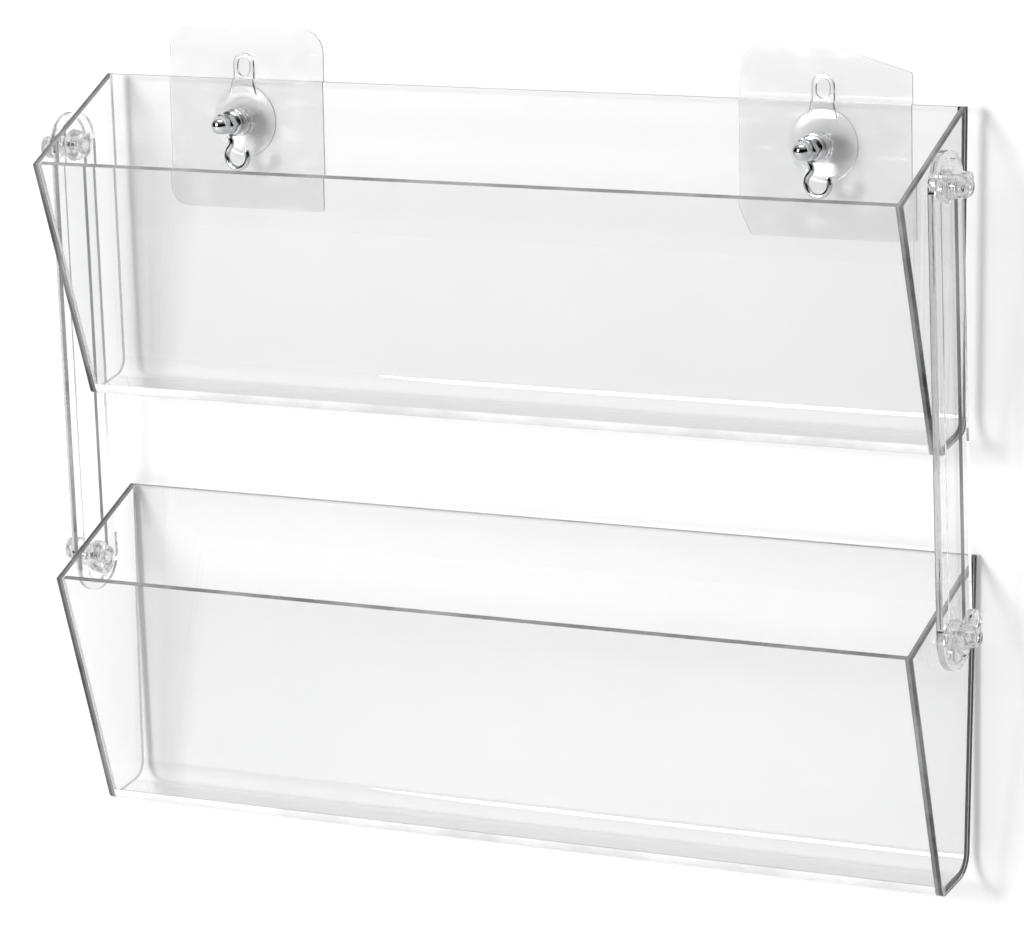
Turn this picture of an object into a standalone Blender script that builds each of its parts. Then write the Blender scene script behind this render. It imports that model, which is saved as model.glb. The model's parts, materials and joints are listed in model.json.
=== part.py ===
"""Two-tier clear magazine rack that hangs from two suction cups. Metres, +Z up, +X along the rack,
-Y out of the wall. The origin is on the wall, midway between the two studs and level with them."""

import bpy
import bmesh
from math import atan2, cos, pi, radians, sin
from mathutils import Matrix, Vector

MM = 0.001
GAP = 0.3 * MM  # kept between pieces that touch

# Bins. Their outlines are in a bin's own plane: (y, z) from the back sheet's outer face and the front edge.
RACK_WIDTH = 380 * MM  # over the two side panels
SHEET = 2.8 * MM
TOP_DEPTH = 56.8 * MM
FLOOR_DEPTH = 23.9 * MM
FRONT_DROP = 97.7 * MM
BACK_DROP = 92.2 * MM
BACK_RISE = 30.5 * MM
FLOOR_BEND = 10 * MM  # outer radius between back and floor
FRONT_BEND = 2.6 * MM  # outer radius between floor and front
SIDE_DRAFT = 0.0199  # how far each side leans in for each metre of height
DRAFT_LEVEL = 15 * MM  # the height at which the rack is RACK_WIDTH wide

# Links and pivots
PIVOT = Vector((0, -25 * MM, 4 * MM))  # in a bin's own plane
LINK_LENGTH = 170 * MM  # between its two holes
LINK_WIDTH = 26.5 * MM
LINK_WEB = 1.4 * MM
LINK_RAIL = 1.4 * MM  # how far the border stands over the web
LINK_TROUGH = 14.5 * MM  # width of the sunk middle
TROUGH_REACH = 10.6 * MM  # how far the sunk middle goes on past each hole
LINK_LEAN = radians(1.98)  # at rest the links lean back, foot towards the wall
LOWER_TIP = radians(-1.34)  # at rest the lower bin's foot is a little forward
SPACER_THICKNESS = 0.7 * MM
SPACER_RADIUS = 6 * MM
BOLT_RADIUS = 2.5 * MM
HOLE_RADIUS = BOLT_RADIUS + GAP
BOLT_HEAD_RADIUS = 4.8 * MM
BOLT_HEAD = 2.3 * MM
KNOB_HEIGHT = 10 * MM
KNOB_SPAN = 14 * MM  # wing tip from the axis
KNOB_WING_FOOT = 1.7 * MM
KNOB_WING_TOP = 5.2 * MM
LOWER_KNOB_TURN = radians(28)

# Hangers, as distances out of the wall
STUD_X = 128.5 * MM
STUD_BELOW_TOP = 17.5 * MM  # below the back sheet's top edge
PAD_THICKNESS = 0.6 * MM
PAD_SIZE = 72 * MM
PAD_LIFT = 0.9 * MM  # the pad's centre above the stud
CUP_FOOT = PAD_THICKNESS + GAP
CUP_RADIUS = 14.4 * MM
CUP_LIP = 0.8 * MM
NECK_RADIUS = 5.5 * MM
RACK_STANDOFF = 8 * MM  # wall to the back sheet's outer face
TAB_WIDTH = 9.2 * MM
TAB_HOLE = (5.9 * MM, 7.8 * MM)
TAB_HOLE_RISE = 21.6 * MM
TAB_THICKNESS = 1.6 * MM
TAB_LIFT = 0.65 * MM  # the tab's back face above the cup's foot, clear of the hollow underside
STUD_START = 4.2 * MM
STUD_END = 21.6 * MM
WASHER_START = RACK_STANDOFF + SHEET + GAP
WASHER_THICKNESS = 1.0 * MM
WASHER_RADIUS = 5.5 * MM
WIRE_RADIUS = 1.1 * MM
HOOK_PLANE = WASHER_START + WASHER_THICKNESS + GAP + WIRE_RADIUS
HOOK_EYE = HOLE_RADIUS + GAP + WIRE_RADIUS  # radius of the eye's centre line
HOOK_NECK = 8.2 * MM  # the straight neck's foot below the stud
HOOK_KINK = 1.8 * MM  # radius where the neck turns aside into the ring
HOOK_ASIDE = radians(48)
HOOK_RING = 4.9 * MM
HOOK_SWEEP = radians(258)
NUT_START = HOOK_PLANE + WIRE_RADIUS + GAP
NUT_FLATS = 8 * MM
HEX_HEIGHT = 4.5 * MM
NUT_HEIGHT = 10 * MM
DOME_RADIUS = 3.75 * MM
NUT_BORE = 7.2 * MM

# A bin's plane in the rack's frame
BIN_ORIGIN = Vector((0, -RACK_STANDOFF, STUD_BELOW_TOP - BACK_RISE))

TURN_STEPS = 28
ALONG_X = (0, pi / 2, 0)  # a turned piece's axis to +X
ALONG_MINUS_X = (0, -pi / 2, 0)
OUT_OF_WALL = (pi / 2, 0, 0)  # a turned piece's axis to -Y
PLANE_YZ = Matrix(((0, 0, 1, 0), (1, 0, 0, 0), (0, 1, 0, 0), (0, 0, 0, 1)))  # a flat outline stands on its side
PLANE_XZ = Matrix.Rotation(pi / 2, 4, "X")  # a flat outline stands up against the wall


def clear_scene():
    for obj in list(bpy.data.objects):
        bpy.data.objects.remove(obj, do_unlink=True)
    for collection in list(bpy.data.collections):
        bpy.data.collections.remove(collection)


def new_collection(name):
    made = bpy.data.collections.new(name)
    bpy.context.scene.collection.children.link(made)
    return made


def new_material(name, colour, roughness, metallic=0.0, clear=0.0):
    material = bpy.data.materials.new(name)
    material.use_nodes = True
    shader = material.node_tree.nodes["Principled BSDF"]
    shader.inputs["Base Color"].default_value = (*colour, 1)
    shader.inputs["Roughness"].default_value = roughness
    shader.inputs["Metallic"].default_value = metallic
    shader.inputs["Transmission Weight"].default_value = clear
    material.diffuse_color = (*colour, 1)
    return material


def add_object(name, data, collection, material=None):
    obj = bpy.data.objects.new(name, data)
    collection.objects.link(obj)
    if material:
        data.materials.append(material)
    return obj


def add_empty(name, place, lean=0.0):
    empty = add_object(name, None, rack)
    empty.empty_display_size = 10 * MM
    empty.location = place
    empty.rotation_euler = (lean, 0, 0)
    return empty


def turned(name, profile, collection, material=None, steps=TURN_STEPS, closed=False):
    """A turned solid about local Z. The profile is (radius, height) points and runs down the outer side."""
    mesh = bpy.data.meshes.new(name)
    count = len(profile)
    edges = [(i, (i + 1) % count) for i in range(count if closed else count - 1)]
    mesh.from_pydata([(radius, 0, height) for radius, height in profile], edges, [])
    obj = add_object(name, mesh, collection, material)
    screw = obj.modifiers.new("turn", "SCREW")
    screw.steps = screw.render_steps = steps
    screw.use_merge_vertices = True
    screw.merge_threshold = 0.01 * MM
    screw.use_smooth_shade = True
    return obj


def as_mesh(obj):
    """The object with its modifiers or bevel turned into a plain mesh."""
    bpy.context.view_layer.update()
    evaluated = obj.evaluated_get(bpy.context.evaluated_depsgraph_get())
    mesh = bpy.data.meshes.new_from_object(evaluated)
    work = bmesh.new()
    work.from_mesh(mesh)
    bmesh.ops.remove_doubles(work, verts=work.verts, dist=0.002 * MM)
    bmesh.ops.recalc_face_normals(work, faces=work.faces)
    work.to_mesh(mesh)
    work.free()
    name, collection, place = obj.name, obj.users_collection[0], obj.matrix_world.copy()
    bpy.data.objects.remove(obj, do_unlink=True)
    made = add_object(name, mesh, collection)
    mesh.name = name
    made.matrix_world = place
    return made


def plate(name, loops, thickness, collection, material=None):
    """A flat plate with holes: its first loop is the outline. It is centred on local Z = 0."""
    curve = bpy.data.curves.new(name, "CURVE")
    curve.dimensions = "2D"
    curve.fill_mode = "BOTH"
    curve.extrude = thickness / 2
    for loop in loops:
        spline = curve.splines.new("POLY")
        spline.points.add(len(loop) - 1)
        for point, (x, y) in zip(spline.points, loop):
            point.co = (x, y, 0, 1)
        spline.use_cyclic_u = True
    return as_mesh(add_object(name, curve, collection, material))


def join_or_cut(obj, other, operation):
    """Applies a Boolean with another object, which is then removed."""
    other.hide_render = True
    other.display_type = "WIRE"
    boolean = obj.modifiers.new(operation.lower(), "BOOLEAN")
    boolean.operation = operation
    boolean.object = other
    made = as_mesh(obj)
    bpy.data.objects.remove(other, do_unlink=True)
    return made


def round_peg(name, radius, length, rotation, place, steps=TURN_STEPS):
    """A plain cutter, centred on its place."""
    half = length / 2
    peg = turned(name, [(0, half), (radius, half), (radius, -half), (0, -half)], cutters, steps=steps)
    peg.rotation_euler = rotation
    peg.location = place
    return as_mesh(peg)


def arc(centre, radius, start, end, steps):
    cx, cy = centre
    return [
        (cx + radius * cos(start + (end - start) * i / steps), cy + radius * sin(start + (end - start) * i / steps))
        for i in range(steps + 1)
    ]


def rounded(corners, closed=True, steps=6):
    """A polyline through (x, y, radius) corners, with each corner of some radius turned into an arc."""
    points = []
    count = len(corners)
    for i, (x, y, radius) in enumerate(corners):
        at_end = not closed and i in (0, count - 1)
        if radius == 0 or at_end:
            points.append((x, y))
            continue
        here = Vector((x, y))
        before = (Vector(corners[i - 1][:2]) - here).normalized()
        after = (Vector(corners[(i + 1) % count][:2]) - here).normalized()
        half_angle = before.angle(after) / 2
        centre = here + (before + after).normalized() * radius / sin(half_angle)
        first = here + before * radius * cos(half_angle) / sin(half_angle) - centre
        last = here + after * radius * cos(half_angle) / sin(half_angle) - centre
        start = atan2(first.y, first.x)
        turn = atan2(last.y, last.x) - start
        turn = (turn + pi) % (2 * pi) - pi
        points += arc(centre, radius, start, start + turn, steps)
    return points


def stadium(width, low, high, steps=10):
    """A slot outline with round ends, whose end centres are at (0, low) and (0, high)."""
    radius = width / 2
    return arc((0, high), radius, 0, pi, steps) + arc((0, low), radius, pi, 2 * pi, steps)


def shade(obj):
    obj.data.shade_smooth()
    obj.data.set_sharp_from_angle(angle=radians(35))


def bin_profile(inset=0.0):
    """(y, z, radius) corners of a bin's side, front edge first."""
    return [
        (-TOP_DEPTH, 0, 0),
        (-FLOOR_DEPTH, -FRONT_DROP, FRONT_BEND - inset),
        (0, -BACK_DROP, FLOOR_BEND - inset),
        (0, BACK_RISE, 0),
    ]


def draft(obj):
    """Leans both sides of a bin's piece in towards the floor."""
    for vertex in obj.data.vertices:
        vertex.co.x *= 1 - SIDE_DRAFT * (DRAFT_LEVEL - vertex.co.z) / (RACK_WIDTH / 2)


def from_pivot(obj, pivot):
    """Hangs a piece that was made in a bin's plane on that bin's pivot."""
    obj.data.transform(Matrix.Translation(-PIVOT))
    obj.parent = pivot


def trough_sheet(name, pivot, with_stud_holes):
    """Back, floor and front bent from one sheet, between the side panels."""
    half = RACK_WIDTH / 2 - SHEET - GAP
    line = rounded(bin_profile(), closed=False, steps=7)
    mesh = bpy.data.meshes.new(name)
    work = bmesh.new()
    first = [work.verts.new((-half, y, z)) for y, z in line]
    last = [work.verts.new((half, y, z)) for y, z in line]
    for i in range(len(line) - 1):
        work.faces.new((first[i], last[i], last[i + 1], first[i + 1]))
    work.to_mesh(mesh)
    work.free()
    obj = add_object(name, mesh, rack, clear_sheet)
    solidify = obj.modifiers.new("sheet", "SOLIDIFY")
    solidify.thickness = SHEET
    solidify.offset = 1  # inwards from the outer faces
    solidify.use_even_offset = True
    obj = as_mesh(obj)
    if with_stud_holes:
        for side in (-1, 1):
            place = (side * STUD_X, -SHEET / 2, BACK_RISE - STUD_BELOW_TOP)
            obj = join_or_cut(obj, round_peg("stud_hole", HOLE_RADIUS, 4 * SHEET, OUT_OF_WALL, place), "DIFFERENCE")
    draft(obj)
    from_pivot(obj, pivot)
    shade(obj)


def side_panel(name, side, pivot):
    outline = rounded(bin_profile(), steps=7)
    obj = plate(name, [outline], SHEET, rack, clear_sheet)
    obj.data.transform(Matrix.Translation((side * (RACK_WIDTH - SHEET) / 2, 0, 0)) @ PLANE_YZ)
    place = (side * (RACK_WIDTH - SHEET) / 2, PIVOT.y, PIVOT.z)
    obj = join_or_cut(obj, round_peg("bolt_hole", HOLE_RADIUS, 4 * SHEET, ALONG_X, place), "DIFFERENCE")
    draft(obj)
    from_pivot(obj, pivot)
    shade(obj)


# The pivot's stack, as distances from the rack's middle
PANEL_FACE = RACK_WIDTH / 2 - SIDE_DRAFT * (DRAFT_LEVEL - PIVOT.z)
SPACER_START = PANEL_FACE + GAP
LINK_START = SPACER_START + SPACER_THICKNESS + GAP
KNOB_START = LINK_START + LINK_WEB + GAP
HEAD_END = PANEL_FACE - SHEET - GAP
BOLT_END = KNOB_START + KNOB_HEIGHT - 1.2 * MM


def spacer(name, side, pivot):
    ring = [
        (SPACER_RADIUS, SPACER_THICKNESS),
        (SPACER_RADIUS, 0),
        (HOLE_RADIUS, 0),
        (HOLE_RADIUS, SPACER_THICKNESS),
    ]
    obj = turned(name, ring, rack, soft_clear, closed=True)
    obj.rotation_euler = ALONG_X if side > 0 else ALONG_MINUS_X
    obj.location.x = side * SPACER_START
    obj.parent = pivot


def bolt(name, side, pivot):
    """Domed head inside the bin, plain shank out through panel, spacer, link and knob."""
    head_start = HEAD_END - BOLT_HEAD
    length = BOLT_END - HEAD_END
    chamfer = 0.5 * MM
    profile = [(0, length), (BOLT_RADIUS - chamfer, length), (BOLT_RADIUS, length - chamfer), (BOLT_RADIUS, 0)]
    profile += [(BOLT_HEAD_RADIUS, 0), (BOLT_HEAD_RADIUS, -0.9 * MM)]
    profile += [(BOLT_HEAD_RADIUS * 0.8, -1.75 * MM), (BOLT_HEAD_RADIUS * 0.45, head_start - HEAD_END)]
    profile += [(0, head_start - HEAD_END)]
    obj = turned(name, profile, rack, clear_plastic, steps=20)
    obj.rotation_euler = ALONG_X if side > 0 else ALONG_MINUS_X
    obj.location.x = side * HEAD_END
    obj.parent = pivot


def wing_knob(name, side, pivot, turn):
    """A hub with two flat wings, screwed on to the bolt."""
    flange, hub, tip = 6.5 * MM, 4.6 * MM, 3.9 * MM
    profile = [(0, KNOB_HEIGHT), (tip - 0.7 * MM, KNOB_HEIGHT), (tip, KNOB_HEIGHT - 0.7 * MM)]
    profile += [(hub, KNOB_WING_TOP), (hub, 1.4 * MM), (flange, 0.9 * MM), (flange, 0), (0, 0)]
    obj = as_mesh(turned(name, profile, rack, clear_plastic, steps=24))
    waist, blade = 2.6 * MM, 4.6 * MM
    bow = [(0, -waist), (KNOB_SPAN - blade, -blade)]
    bow += arc((KNOB_SPAN - blade, 0), blade, -pi / 2, pi / 2, 8)
    bow += [(KNOB_SPAN - blade, blade), (0, waist)]
    outline = [(x, y) for x, y in bow] + [(-x, -y) for x, y in bow]
    outline = [point for i, point in enumerate(outline) if i == 0 or point != outline[i - 1]]
    wings = plate(name + "_wings", [outline], KNOB_WING_TOP - KNOB_WING_FOOT, cutters)
    wings.data.transform(Matrix.Translation((0, 0, (KNOB_WING_TOP + KNOB_WING_FOOT) / 2)))
    wings.matrix_world = obj.matrix_world
    obj = join_or_cut(obj, wings, "UNION")
    bore = round_peg("bore", HOLE_RADIUS, 3 * KNOB_HEIGHT, (0, 0, 0), (0, 0, 0), steps=20)
    obj = join_or_cut(obj, bore, "DIFFERENCE")
    obj.data.transform(Matrix.Rotation(turn + pi / 2, 4, "Z"))
    obj.rotation_euler = ALONG_X if side > 0 else ALONG_MINUS_X
    obj.location.x = side * KNOB_START
    obj.parent = pivot
    shade(obj)


def link(name, side, pivot):
    """A strip with round ends and a sunk middle on its outer face."""
    thickness = LINK_WEB + LINK_RAIL
    obj = plate(name, [stadium(LINK_WIDTH, -LINK_LENGTH, 0, 14)], thickness, rack, clear_plastic)
    reach = TROUGH_REACH - LINK_TROUGH / 2
    sunk = plate("sunk_middle", [stadium(LINK_TROUGH, -LINK_LENGTH - reach, reach)], 2 * LINK_RAIL, cutters)
    sunk.data.transform(Matrix.Translation((0, 0, thickness / 2)))
    obj = join_or_cut(obj, sunk, "DIFFERENCE")
    for height in (0, -LINK_LENGTH):
        hole = round_peg("link_hole", HOLE_RADIUS, 4 * thickness, (0, 0, 0), (0, height, 0), steps=20)
        obj = join_or_cut(obj, hole, "DIFFERENCE")
    outward = Matrix.Scale(side, 4, (1, 0, 0))
    obj.data.transform(outward @ Matrix.Translation((LINK_START + thickness / 2, 0, 0)) @ PLANE_YZ)
    if side < 0:
        obj.data.flip_normals()
    obj.parent = pivot
    shade(obj)


def make_bin(tier, pivot, with_stud_holes, turn):
    trough_sheet(f"{tier}_trough_sheet", pivot, with_stud_holes)
    for word, side in sides:
        side_panel(f"{tier}_side_panel_{word}", side, pivot)
        spacer(f"{tier}_spacer_{word}", side, pivot)
        bolt(f"{tier}_pivot_bolt_{word}", side, pivot)
        wing_knob(f"{tier}_wing_knob_{word}", side, pivot, turn)


def wall_pad(name, side, hanger):
    """A thin square pad. The right-hand one has its upper outer corner cut off at a slant."""
    half = PAD_SIZE / 2
    foot_cut = (-half + 5 * MM, -half, 3 * MM)
    if side < 0:
        corners = [(-half, -half, 8 * MM), (half, -half, 1.5 * MM), (half, half, 9 * MM), (-half, half, 9 * MM)]
    else:
        corners = [(-half, -half + 11 * MM, 3 * MM), foot_cut, (half, -half, 1 * MM)]
        corners += [(half, half - 8.5 * MM, 1.5 * MM), (5.5 * MM, half, 4 * MM), (-half, half, 9 * MM)]
    obj = plate(name, [rounded(corners)], PAD_THICKNESS, rack, soft_clear)
    obj.data.transform(Matrix.Translation((0, -PAD_THICKNESS / 2, PAD_LIFT)) @ PLANE_XZ)
    obj.parent = hanger
    shade(obj)


def suction_cup(name, hanger):
    """A flattened cup with a neck that holds the stud, and a pull tab with a hole above it."""
    height = RACK_STANDOFF - GAP - CUP_FOOT
    pocket = STUD_START - GAP - CUP_FOOT
    profile = [(0, pocket), (HOLE_RADIUS, pocket), (HOLE_RADIUS, height), (NECK_RADIUS, height)]
    profile += [(NECK_RADIUS, 4.5 * MM), (6.4 * MM, 3.7 * MM), (9.5 * MM, 2.6 * MM), (12.4 * MM, 1.2 * MM)]
    profile += [(CUP_RADIUS, 0.5 * MM), (CUP_RADIUS, 0), (CUP_RADIUS - CUP_LIP, 0), (11.5 * MM, 0.5 * MM)]
    profile += [(8 * MM, 0.9 * MM), (0, 1.2 * MM)]
    obj = as_mesh(turned(name, profile, rack, soft_clear, steps=36))
    half = TAB_WIDTH / 2
    top = TAB_HOLE_RISE + TAB_HOLE[1] / 2 + 1.6 * MM - half
    outline = [(-half - 0.8 * MM, 10.5 * MM), (half + 0.8 * MM, 10.5 * MM), (half, 16 * MM)]
    outline += arc((0, top), half, 0, pi, 12) + [(-half, 16 * MM)]
    rise = (TAB_HOLE[1] - TAB_HOLE[0]) / 2
    hole = stadium(TAB_HOLE[0], TAB_HOLE_RISE - rise, TAB_HOLE_RISE + rise, 8)
    tab = plate(name + "_tab", [outline, hole], TAB_THICKNESS, cutters)
    tab.data.transform(Matrix.Translation((0, 0, TAB_LIFT + TAB_THICKNESS / 2)))
    obj = join_or_cut(obj, tab, "UNION")
    obj.rotation_euler = OUT_OF_WALL
    obj.location.y = -CUP_FOOT
    obj.parent = hanger
    shade(obj)


def hanger_stud(name, hanger):
    length = STUD_END - STUD_START
    chamfer = 0.5 * MM
    profile = [(0, length), (BOLT_RADIUS - chamfer, length), (BOLT_RADIUS, length - chamfer)]
    profile += [(BOLT_RADIUS, chamfer), (BOLT_RADIUS - chamfer, 0), (0, 0)]
    obj = turned(name, profile, rack, chrome, steps=20)
    obj.rotation_euler = OUT_OF_WALL
    obj.location.y = -STUD_START
    obj.parent = hanger


def washer(name, hanger):
    edge = 0.25 * MM
    ring = [(WASHER_RADIUS - edge, WASHER_THICKNESS), (WASHER_RADIUS, WASHER_THICKNESS - edge), (WASHER_RADIUS, 0)]
    ring += [(HOLE_RADIUS, 0), (HOLE_RADIUS, WASHER_THICKNESS)]
    obj = turned(name, ring, rack, chrome, closed=True)
    obj.rotation_euler = OUT_OF_WALL
    obj.location.y = -WASHER_START
    obj.parent = hanger


def hook_route():
    """The wire's centre line, (across, up): an eye round the stud, a short neck, then an open ring."""
    opening = radians(22)
    start = -pi / 2 + opening
    points = arc((0, 0), HOOK_EYE, start, start + 2 * pi - 2 * opening, 16)
    points.append((points[-1][0] * 0.35, -HOOK_EYE - 1.7 * MM))
    points.append((0, -HOOK_EYE - 2.8 * MM))
    points += arc((-HOOK_KINK, -HOOK_NECK), HOOK_KINK, 0, -HOOK_ASIDE, 4)
    reach = HOOK_KINK + HOOK_RING
    centre = (reach * cos(HOOK_ASIDE) - HOOK_KINK, -HOOK_NECK - reach * sin(HOOK_ASIDE))
    first = pi - HOOK_ASIDE
    points += arc(centre, HOOK_RING, first, first + HOOK_SWEEP, 18)[1:]
    return points


def wire_hook(name, hanger):
    curve = bpy.data.curves.new(name, "CURVE")
    curve.dimensions = "3D"
    curve.bevel_depth = WIRE_RADIUS
    curve.bevel_resolution = 2
    curve.use_fill_caps = True
    route = hook_route()
    spline = curve.splines.new("POLY")
    spline.points.add(len(route) - 1)
    for point, (x, z) in zip(spline.points, route):
        point.co = (x, 0, z, 1)
    obj = as_mesh(add_object(name, curve, rack, chrome))
    obj.location.y = -HOOK_PLANE
    obj.parent = hanger
    shade(obj)


def cap_nut(name, hanger):
    """A domed hexagon nut with a blind bore."""
    corner = NUT_FLATS / 2 / cos(pi / 6)
    hexagon = as_mesh(
        turned(name, [(0, HEX_HEIGHT), (corner, HEX_HEIGHT), (corner, 0), (0, 0)], rack, chrome, steps=6)
    )
    dome = arc((0, NUT_HEIGHT - DOME_RADIUS), DOME_RADIUS, pi / 2, 0, 8)
    dome = turned("dome", dome + [(DOME_RADIUS, 1 * MM), (0, 1 * MM)], cutters, steps=24)
    obj = join_or_cut(hexagon, as_mesh(dome), "UNION")
    bore = round_peg("bore", HOLE_RADIUS, 2 * NUT_BORE, (0, 0, 0), (0, 0, 0), steps=24)
    obj = join_or_cut(obj, bore, "DIFFERENCE")
    obj.rotation_euler = OUT_OF_WALL
    obj.location.y = -NUT_START
    obj.parent = hanger
    shade(obj)


clear_scene()
rack = new_collection("magazine_rack")
cutters = new_collection("cutters")
cutters.hide_render = True
sides = (("left", -1), ("right", 1))

clear_sheet = new_material("clear_sheet", (0.95, 0.96, 0.96), 0.05, clear=1.0)
clear_plastic = new_material("clear_plastic", (0.93, 0.94, 0.94), 0.08, clear=1.0)
soft_clear = new_material("soft_clear", (0.88, 0.89, 0.89), 0.25, clear=0.8)
chrome = new_material("chrome", (0.8, 0.8, 0.82), 0.12, metallic=1.0)

upper_pivot = add_empty("upper_pivot", BIN_ORIGIN + PIVOT)
link_foot = LINK_LENGTH * Vector((0, sin(LINK_LEAN), -cos(LINK_LEAN)))
lower_pivot = add_empty("lower_pivot", upper_pivot.location + link_foot, LOWER_TIP)
make_bin("upper", upper_pivot, True, 0.0)
make_bin("lower", lower_pivot, False, LOWER_KNOB_TURN)

for word, side in sides:
    link_pivot = add_empty(f"{word}_link_pivot", upper_pivot.location, LINK_LEAN)
    link(f"{word}_link", side, link_pivot)
    hanger = add_empty(f"{word}_hanger", (side * STUD_X, 0, 0))
    wall_pad(f"{word}_wall_pad", side, hanger)
    suction_cup(f"{word}_suction_cup", hanger)
    hanger_stud(f"{word}_hanger_stud", hanger)
    washer(f"{word}_washer", hanger)
    wire_hook(f"{word}_wire_hook", hanger)
    cap_nut(f"{word}_cap_nut", hanger)
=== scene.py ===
import bpy
import bmesh
import json
from math import atan2, cos, floor, pi, radians, sin
from mathutils import Matrix, Vector


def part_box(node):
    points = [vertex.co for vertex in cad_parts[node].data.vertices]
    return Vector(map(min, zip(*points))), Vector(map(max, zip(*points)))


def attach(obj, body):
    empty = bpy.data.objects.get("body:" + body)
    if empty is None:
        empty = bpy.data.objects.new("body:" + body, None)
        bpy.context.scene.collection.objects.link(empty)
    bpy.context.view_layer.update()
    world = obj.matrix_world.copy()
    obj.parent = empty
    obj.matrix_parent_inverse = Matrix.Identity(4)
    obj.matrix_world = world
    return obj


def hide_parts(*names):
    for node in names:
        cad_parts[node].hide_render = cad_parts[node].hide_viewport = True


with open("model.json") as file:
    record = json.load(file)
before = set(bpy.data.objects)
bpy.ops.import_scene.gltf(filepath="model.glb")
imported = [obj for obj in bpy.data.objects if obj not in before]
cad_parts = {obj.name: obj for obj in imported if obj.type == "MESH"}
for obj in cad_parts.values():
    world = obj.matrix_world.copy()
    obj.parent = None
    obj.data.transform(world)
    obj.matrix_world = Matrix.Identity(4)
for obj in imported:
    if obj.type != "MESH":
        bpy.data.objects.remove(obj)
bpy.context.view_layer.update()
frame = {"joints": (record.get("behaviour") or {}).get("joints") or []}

# Clear magazine rack on two suction cups: metres, +Z up, -Y out of the wall, origin between the two studs.
mm = 0.001
weldGap = 0.002 * mm  # points nearer than this become one
seamGap = 0.01 * mm  # the same, where a turned body closes on itself
planeGap = 0.001 * mm  # a point this near a cutting plane lies on it
sides = (("left", -1), ("right", 1))
joints = {joint["name"]: joint for joint in frame["joints"]}


def roundedLine(corners, steps, closed=True):
    # a line through (x, y, radius) corners, each corner of some radius turned into an arc
    points = []
    count = len(corners)
    for i, (x, y, radius) in enumerate(corners):
        if radius == 0 or (not closed and i in (0, count - 1)):
            points.append((x, y))
            continue
        here = Vector((x, y))
        before = (Vector(corners[i - 1][:2]) - here).normalized()
        after = (Vector(corners[(i + 1) % count][:2]) - here).normalized()
        reach = radius / sin(before.angle(after) / 2)
        run = (reach * reach - radius * radius) ** 0.5
        centre = here + (before + after).normalized() * reach
        first = here + before * run - centre
        last = here + after * run - centre
        start = atan2(first.y, first.x)
        turn = (atan2(last.y, last.x) - start + pi) % (2 * pi) - pi
        points += arcPoints(centre, radius, start, start + turn, steps)
    return points


def arcPoints(centre, radius, start, end, steps):
    angles = [start + (end - start) * i / steps for i in range(steps + 1)]
    return [(centre[0] + radius * cos(a), centre[1] + radius * sin(a)) for a in angles]


def slotLine(width, low, high, steps):
    # an upright slot with round ends centred at (0, low) and (0, high)
    half = width / 2
    return arcPoints((0, high), half, 0, pi, steps) + arcPoints((0, low), half, pi, 2 * pi, steps)


def easyLine(points, steps=5):
    # a smooth line through a few (radius, height) points
    line = []
    last = len(points) - 1
    for i in range(last):
        a, b = Vector(points[max(i - 1, 0)]), Vector(points[i])
        c, d = Vector(points[i + 1]), Vector(points[min(i + 2, last)])
        for step in range(steps):
            t = step / steps
            spot = b + (c - a) * t / 2 + (a - 2.5 * b + 2 * c - d / 2) * t * t
            spot += (1.5 * b - 1.5 * c + (d - a) / 2) * t ** 3
            line.append((max(spot.x, 0), spot.y))
    return line + [tuple(points[-1])]


def newObject(name, data):
    made = bpy.data.objects.new(name, data)
    bpy.context.scene.collection.objects.link(made)
    return made


def settle(made):
    # the object's modifiers, bevel and place turned into one plain closed mesh
    bpy.context.view_layer.update()
    graph = bpy.context.evaluated_depsgraph_get()
    mesh = bpy.data.meshes.new_from_object(made.evaluated_get(graph))
    mesh.transform(made.matrix_world)
    work = bmesh.new()
    work.from_mesh(mesh)
    bmesh.ops.remove_doubles(work, verts=work.verts, dist=weldGap)
    bmesh.ops.dissolve_degenerate(work, edges=work.edges, dist=weldGap / 2)
    bmesh.ops.recalc_face_normals(work, faces=work.faces)
    work.to_mesh(mesh)
    work.free()
    name = made.name
    bpy.data.objects.remove(made, do_unlink=True)
    mesh.name = name
    return newObject(name, mesh)


def flatPlate(name, loops, thickness):
    # a plate from an outline and its holes, centred on local Z = 0
    curve = bpy.data.curves.new(name, "CURVE")
    curve.dimensions = "2D"
    curve.fill_mode = "BOTH"
    curve.extrude = thickness / 2
    for loop in loops:
        spline = curve.splines.new("POLY")
        spline.points.add(len(loop) - 1)
        for point, (x, y) in zip(spline.points, loop):
            point.co = (x, y, 0, 1)
        spline.use_cyclic_u = True
    return settle(newObject(name, curve))


def turnedBody(name, profile, steps=48, closed=False):
    # a body of revolution about local Z from (radius, height) points
    mesh = bpy.data.meshes.new(name)
    count = len(profile)
    edges = [(i, (i + 1) % count) for i in range(count if closed else count - 1)]
    mesh.from_pydata([(radius, 0, height) for radius, height in profile], edges, [])
    made = newObject(name, mesh)
    screw = made.modifiers.new("turn", "SCREW")
    screw.steps = screw.render_steps = steps
    screw.use_merge_vertices = True
    screw.merge_threshold = seamGap
    return settle(made)


def joinOrCut(made, other, operation):
    boolean = made.modifiers.new("boolean", "BOOLEAN")
    boolean.operation = operation
    boolean.solver = "EXACT"
    boolean.object = other
    result = settle(made)
    bpy.data.objects.remove(other, do_unlink=True)
    return result


def drill(made, radius, length, turn, place, steps=40):
    # a round hole, cut by a peg that is centred on that place
    half = length / 2
    peg = turnedBody("peg", [(0, half), (radius, half), (radius, -half), (0, -half)], steps)
    peg.data.transform(Matrix.Translation(place) @ turn)
    return joinOrCut(made, peg, "DIFFERENCE")


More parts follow.
